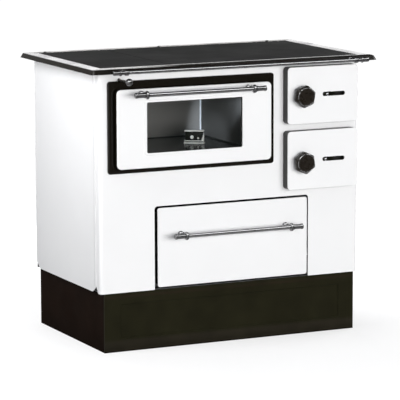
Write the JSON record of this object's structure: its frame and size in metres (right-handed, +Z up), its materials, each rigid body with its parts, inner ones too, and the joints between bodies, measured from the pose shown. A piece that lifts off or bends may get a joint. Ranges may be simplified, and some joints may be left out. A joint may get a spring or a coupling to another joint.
{
  "type": "wood cookstove",
  "caption": "Free-standing enamelled wood cookstove on a black plinth, with cooking plates, glazed oven door, fire and ash doors, wood drawer, towel rail and rear flue spigot.",
  "frame": {"origin": "on the floor under the middle of the overall width and depth", "axes": "+X to the stove's right seen from the front, +Y to its back, +Z up"},
  "size_m": [0.944, 0.656, 0.853],
  "materials": {
    "white_enamel": "glossy white enamel",
    "black_enamel": "semi-gloss black enamel",
    "dark_frame": "satin dark enamel on cast iron",
    "cooking_plate": "ground and blackened steel",
    "polished_strip": "polished steel",
    "chrome": "bright chrome",
    "knob_black": "glossy moulded plastic",
    "glass": "clear heat-resistant glass",
    "plain_steel": "zinc-plated sheet",
    "oven_enamel": "grey glossy oven enamel",
    "cast_iron": "raw cast iron",
    "firebrick": "fired clay",
    "gasket": "woven sealing cord"
  },
  "bodies": {
    "stove": {"plinth_base": "black_enamel", "plinth_front": "black_enamel", "plinth_sides": "black_enamel", "base_plate": "plain_steel", "front_panel": "white_enamel", "left_side_panel": "white_enamel", "right_side_panel": "white_enamel", "rear_panel": "plain_steel", "corner_posts": "dark_frame", "mid_shelf": "plain_steel", "top_skirt": "black_enamel", "top_strip": "polished_strip", "plate_studs": "cast_iron", "towel_rail": "chrome", "towel_rail_fittings": "chrome", "oven_surround": "black_enamel", "oven_liner": "oven_enamel", "oven_supports": "plain_steel", "oven_thermometer": "chrome", "hinge_lugs": "dark_frame", "firebox_front": "cast_iron", "firebox_casing": "plain_steel", "grate_frame": "cast_iron", "fire_grate": "cast_iron", "fire_bricks": "firebrick", "ash_pan": "plain_steel", "drawer_runners": "plain_steel", "flue_box": "plain_steel", "flue_spigot": "black_enamel", "damper_bush": "plain_steel"},
    "left_plate": {"cooktop_left": "cooking_plate"},
    "right_plate": {"cooktop_right": "cooking_plate"},
    "oven_door": {"oven_door_panel": "white_enamel", "oven_door_glass": "glass", "oven_door_frame": "black_enamel", "oven_door_gasket": "gasket", "oven_hinge_pins": "plain_steel", "oven_handle_tube": "chrome", "oven_handle_fittings": "chrome"},
    "wood_drawer": {"drawer_front": "white_enamel", "drawer_box": "black_enamel", "drawer_handle_tube": "chrome", "drawer_handle_fittings": "chrome"},
    "damper": {"damper_rod": "chrome", "damper_ball": "chrome", "damper_slide": "plain_steel"},
    "fire_door": {"fire_door_front": "white_enamel", "fire_door_frame": "dark_frame", "fire_door_liner": "cast_iron", "fire_hinge_pin": "chrome"},
    "fire_latch": {"fire_knob": "knob_black", "fire_latch": "cast_iron"},
    "fire_air": {"fire_air_slide": "chrome"},
    "ash_door": {"ash_door_front": "white_enamel", "ash_door_frame": "dark_frame", "ash_door_liner": "cast_iron", "ash_hinge_pin": "chrome"},
    "ash_latch": {"ash_knob": "knob_black", "ash_latch": "cast_iron"},
    "ash_air": {"ash_air_slide": "chrome"}
  },
  "joints": [
    {"name": "oven_door_hinge", "type": "hinge", "parent": "stove", "child": "oven_door", "pos_m": [-0.132, -0.25, 0.558], "axis": [1, 0, 0], "range_deg": [0, 90]},
    {"name": "fire_door_hinge", "type": "hinge", "parent": "stove", "child": "fire_door", "pos_m": [0.405, -0.25, 0.738], "axis": [0, 0, 1], "range_deg": [0, 110]},
    {"name": "ash_door_hinge", "type": "hinge", "parent": "stove", "child": "ash_door", "pos_m": [0.405, -0.25, 0.541], "axis": [0, 0, 1], "range_deg": [0, 110]},
    {"name": "fire_knob_turn", "type": "hinge", "parent": "fire_door", "child": "fire_latch", "pos_m": [0.221, -0.274, 0.737], "axis": [0, 1, 0], "range_deg": [0, 90]},
    {"name": "ash_knob_turn", "type": "hinge", "parent": "ash_door", "child": "ash_latch", "pos_m": [0.221, -0.274, 0.536], "axis": [0, 1, 0], "range_deg": [0, 90]},
    {"name": "fire_air_slide_move", "type": "slide", "parent": "fire_door", "child": "fire_air", "axis": [1, 0, 0], "range_m": [-0.011, 0.055]},
    {"name": "ash_air_slide_move", "type": "slide", "parent": "ash_door", "child": "ash_air", "axis": [1, 0, 0], "range_m": [-0.007, 0.06]},
    {"name": "wood_drawer_slide", "type": "slide", "parent": "stove", "child": "wood_drawer", "axis": [0, -1, 0], "range_m": [0, 0.34]},
    {"name": "damper_slide_move", "type": "slide", "parent": "stove", "child": "damper", "axis": [0, 1, 0], "range_m": [0, 0.05]},
    {"name": "left_plate_lift", "type": "slide", "parent": "stove", "child": "left_plate", "axis": [0, 0, 1], "range_m": [0, 0.06]},
    {"name": "right_plate_lift", "type": "slide", "parent": "stove", "child": "right_plate", "axis": [0, 0, 1], "range_m": [0, 0.06]}
  ]
}
